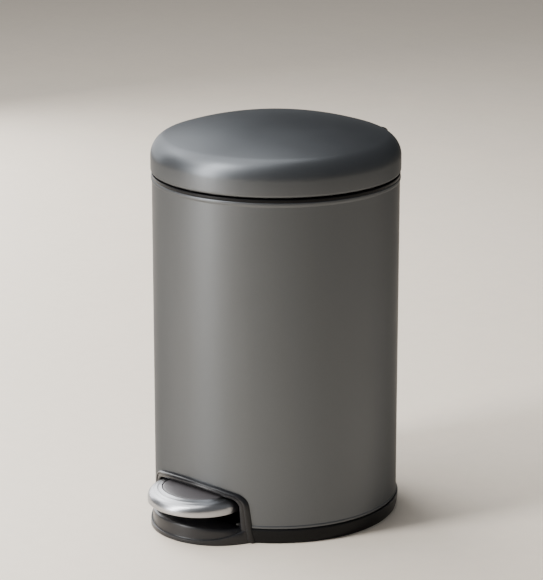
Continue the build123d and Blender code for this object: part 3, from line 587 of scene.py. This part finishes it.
def pedal_housing():
    for piece in (pedal_bezel(), pedal_plinth()):
        finish_piece(piece, "pedal_housing")


# ------------------------------------------------------------ hinge cover


def lid_hinge_cover():
    """Black cowl: a wall that follows the can, rounded into a top that meets the lid."""
    half, radius, corner = COWL_HALF, COWL_RADIUS, 11.0
    turn_z, turn_high, turn_deep = COWL_TOP - 6.0, 6.0, 5.5
    side_y = math.sqrt(radius**2 - half**2)
    wall = [(-half, 117.0), (-half, side_y)]
    bow = []
    for i in range(1, 24):
        x = -half + 2 * half * i / 24
        bow.append((x, math.sqrt(radius**2 - x * x)))
    corners = [0, corner] + [0] * 23 + [corner, 0]
    path = rounded(wall + bow + [(half, side_y), (half, 117.0)], corners, 10, False)
    middle = Vector((0, 122.0))
    rows = []
    for x, y in path:
        p = Vector((x, y))
        inward = (middle - p).normalized()
        lid_x = x * 0.94
        meets = Vector((lid_x, math.sqrt(119.0**2 - lid_x**2)))
        row = [(x, y, z) for z in (COWL_BOTTOM, COWL_BOTTOM + 1, COWL_BOTTOM + 5, turn_z)]
        for k in range(1, 7):
            t = math.radians(90 * k / 6)
            q = p + inward * turn_deep * (1 - math.cos(t))
            row.append((q.x, q.y, turn_z + turn_high * math.sin(t)))
        top = p + inward * turn_deep
        for share in (0.4, 0.8, 1.0):
            q = top.lerp(meets, share)
            row.append((q.x, q.y, COWL_TOP - share))
        rows.append(row)
    cover = skin("lid_hinge_cover_cowl", rows)
    thick = cover.modifiers.new("wall", "SOLIDIFY")
    thick.thickness = 2 * MM
    thick.offset = -1
    return finish_piece(shade(settle(cover), 40), "lid_hinge_cover")


# ------------------------------------------------------------ bucket


def inner_bucket():
    points = [
        (0.01, 57), (94, 57), (98, 59.5), (104.6, BUCKET_TOP - 2.2), (110, BUCKET_TOP - 2.2),
        (110, BUCKET_TOP), (102.8, BUCKET_TOP), (96.2, 61), (92, 58.8), (0.01, 58.8),
    ]
    bucket = lathe("inner_bucket_wall", rounded(points, [0, 1, 3, 0.8, 0.9, 0.9, 1.2, 2.5, 1, 0]))
    carve(bucket, box_mesh("notch", (-22, 22), (105.8, 130), (SEAT_Z - 20, SEAT_Z + 10)))
    finish_piece(bucket, "inner_bucket")
    for side in (-1, 1):
        low = BUCKET_TOP - 0.5
        outline = [(-5, low), (-5, BAIL_Z)] + arc((0, BAIL_Z), 5, 180, 0, 20) + [(5, low)]
        near, far = sorted((side * 102.9, side * 104.9))
        lug = prism(f"inner_bucket_lug_{side + 1}", outline, lambda u, v, end: ((near, far)[end], u, v))
        hole = arc((0, BAIL_Z), 2.1, 0, 345, 23)
        carve(lug, prism("hole", hole, lambda u, v, end: ((near - 1, far + 1)[end], u, v)))
        bevelled(lug, 0.3, 2)
        lug.data.materials.append(FINISH["bucket_plastic"])
        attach(lug, "bucket")


def bucket_handle():
    radius, z = BAIL_RADIUS, BAIL_Z
    leaves = (radius * math.cos(0.12), -radius * math.sin(0.12))
    bend = rounded([(100.4, 0), (radius, 0), leaves], 4.5, 8, False)
    sweep = [circle_point((0, 0), radius, -7 - 166 * i / 120) for i in range(121)]
    path = bend[:-1] + sweep + [(-x, y) for x, y in reversed(bend[:-1])]
    wire = tube("bucket_handle_wire", [(x, y, z) for x, y in path], 2.0)
    finish_piece(wire, "bucket_handle")
    steps = 96
    grip_path, radii = [], []
    for i in range(steps + 1):
        degrees = -90 + 16 * (1 - 2 * i / steps)
        x, y = circle_point((0, 0), radius, degrees)
        grip_path.append((x, y, z))
        end = min(i, steps - i) / 4
        rib = 0.22 * (math.cos(2 * math.pi * i / 8) if 12 < i < steps - 12 else 0)
        radii.append(2.05 + 0.85 * min(1, math.sqrt(end)) + rib * 0.6)
    finish_piece(tube("handle_grip_sleeve", grip_path, radii), "handle_grip")


# ------------------------------------------------------------ small metal and plastic pieces


def dressed(node, width):
    """A CAD piece with its flat faces cleaned and its edges softened."""
    obj = add_object(node + "_softened", frame["nodes"][node].data.copy())
    bm = bmesh.new()
    bm.from_mesh(obj.data)
    bmesh.ops.remove_doubles(bm, verts=bm.verts, dist=1e-6)
    bmesh.ops.dissolve_limit(bm, angle_limit=math.radians(1.0), verts=bm.verts, edges=bm.edges)
    bm.to_mesh(obj.data)
    bm.free()
    return finish_piece(bevelled(obj, width), node)


def screw(name, place, axis, head, shank, tall, length):
    """A pan-head screw with a cross recess; its head sits on place and points along axis."""
    profile = [(0.01, tall), (head * 0.55, tall * 0.94), (head * 0.9, tall * 0.6), (head, 0.15), (head, 0)]
    stem = [(shank, 0), (shank, -length + shank * 0.6), (shank * 0.5, -length), (0.01, -length)]
    points = rounded(profile + stem, [0, 1, 0.8, 0.3, 0.1, 0.1, 0.4, 0.2, 0], 4)
    obj = lathe(name, points, 40)
    arm = head * 0.5
    cutters = []
    for turn in (0, 1):
        a, b = (arm, head * 0.13) if turn else (head * 0.13, arm)
        cutters.append(box_mesh("cross", (-a, a), (-b, b), (tall * 0.35, tall + 1)))
    carve(obj, *cutters)
    turned = Vector(axis).to_track_quat("Z", "Y").to_matrix().to_4x4()
    turned.translation = Vector(place) * MM
    obj.data.transform(turned)
    return obj


def screws(node, places, axis, head, shank, tall, length):
    for i, place in enumerate(places):
        finish_piece(screw(f"{node}_{i + 1}", place, axis, head, shank, tall, length), node)


def all_screws():
    pair = (-SCREW_X, SCREW_X)
    behind = [(x, math.sqrt(129.4**2 - x * x) + 0.6, 324) for x in pair]
    screws("hinge_screws", behind, (0, 1, 0), 4, 2, 2, 12)
    below = [(-90, 0, 3), (90, 0, 3), (-46, 84, 3), (46, 84, 3)]
    screws("base_screws", below, (0, 0, -1), 3.2, 1.6, 1.9, 8)
    under = [(x, LID_SCREW_Y, WING_TOP - 3) for x in pair]
    screws("lid_screws", under, (0, 0, -1), 3, 1.5, 1.9, 13)
    screws("pedal_screws", [(-24, -128, 30), (24, -128, 30)], (0, 0, -1), 3.2, 1.5, 1.9, 7)
    screws("housing_screws", [(-36, -94, 8), (36, -94, 8)], (0, 0, 1), 3.2, 1.6, 1.9, 2)
    screws("bracket_screws", [(-40, -72, 7.5), (40, -72, 7.5)], (0, 0, 1), 3.2, 1.5, 1.9, 1.9)
    screws("rod_clamp_screw", [(-5, 114.5, 154.5)], (-1, 0, 0), 2.8, 1.4, 1.9, 2.2)


# ------------------------------------------------------------ camera, light, floor


def camera():
    """The photograph's view: 42 degrees to the right of the pedal, looking down at 16 degrees."""
    azimuth, pitch = math.radians(42.64), math.radians(15.84)
    distance, height, aside = 2.5, 0.9368, -0.0044
    right = Vector((math.cos(azimuth), math.sin(azimuth), 0))
    ahead = Vector((-math.sin(azimuth), math.cos(azimuth), 0))
    data = bpy.data.cameras.new("camera")
    data.sensor_width = 36.0
    data.lens = 158.2
    cam = add_object("camera", data)
    cam.location = right * aside - ahead * distance + Vector((0, 0, height))
    look = ahead * math.cos(pitch) - Vector((0, 0, math.sin(pitch)))
    cam.rotation_euler = look.to_track_quat("-Z", "Y").to_euler()
    bpy.context.scene.camera = cam
    return right, ahead


def softbox(name, place, target, wide, tall, power, colour=(1, 1, 1)):
    data = bpy.data.lights.new(name, "AREA")
    data.shape = "RECTANGLE"
    data.size, data.size_y = wide, tall
    data.energy = power
    data.color = colour
    lamp = add_object(name, data)
    lamp.location = place
    lamp.rotation_euler = (Vector(target) - Vector(place)).to_track_quat("-Z", "Y").to_euler()
    return lamp


def floor():
    span = 9.0
    rows = []
    for i in range(9):
        y = -span + 2 * span * i / 8
        rows.append([(x * 1000, y * 1000, 0) for x in (-span, -span / 2, 0, span / 2, span)])
    plane = skin("floor", rows)
    paint = material("floor_paint", (0.97, 0.86, 0.72), 0.015, 60, 0.6, 0.04, bump=0.02)
    plane.data.materials.append(paint)


def light():
    right, ahead = camera()
    middle = Vector((0, 0, 0.2))
    high = Vector((0, 0, 1))
    softbox("key_left", -right * 1.25 - ahead * 0.62 + high * 0.95, middle, 0.34, 1.9, 41)
    softbox("rim_left", -right * 0.95 + ahead * 1.35 + high * 0.85, middle, 1.3, 1.5, 30)
    softbox("top_soft", -right * 1.0 + ahead * 0.5 + high * 2.3, middle, 2.6, 2.6, 66)
    world = bpy.data.worlds.new("studio")
    bpy.context.scene.world = world
    world.use_nodes = True
    world.node_tree.nodes["Background"].inputs["Color"].default_value = (0.95, 0.97, 1, 1)
    world.node_tree.nodes["Background"].inputs["Strength"].default_value = 0.21


# ------------------------------------------------------------ build

for node, obj in frame["nodes"].items():
    obj.data.materials.clear()
    obj.data.materials.append(FINISH[SLOT[node]])

light()
floor()
outer_shell()
base_pan()
top_collar()
lid_shell()
lid_liner()
pedal_cover()
pedal_pad()
pedal_housing()
lid_hinge_cover()
inner_bucket()
bucket_handle()
all_screws()
for node, width in (
    ("hinge_bracket", 0.6), ("lid_hinge_arm", 0.4), ("pedal_lever", 0.4), ("pivot_bracket_left", 0.4),
    ("pivot_bracket_right", 0.4), ("lift_rod", 0.4), ("rod_clamp", 0.5), ("rod_guide_lower", 0.5),
    ("rod_guide_upper", 0.5), ("damper_bracket", 0.5), ("damper_cylinder", 0.4), ("damper_cap", 0.3),
    ("lid_bumpers", 0.5), ("lever_rest_pad", 0.8), ("base_pads", 0.5), ("hinge_pin", 0.3),
    ("hinge_nut_plate", 0.3),
):
    dressed(node, width)
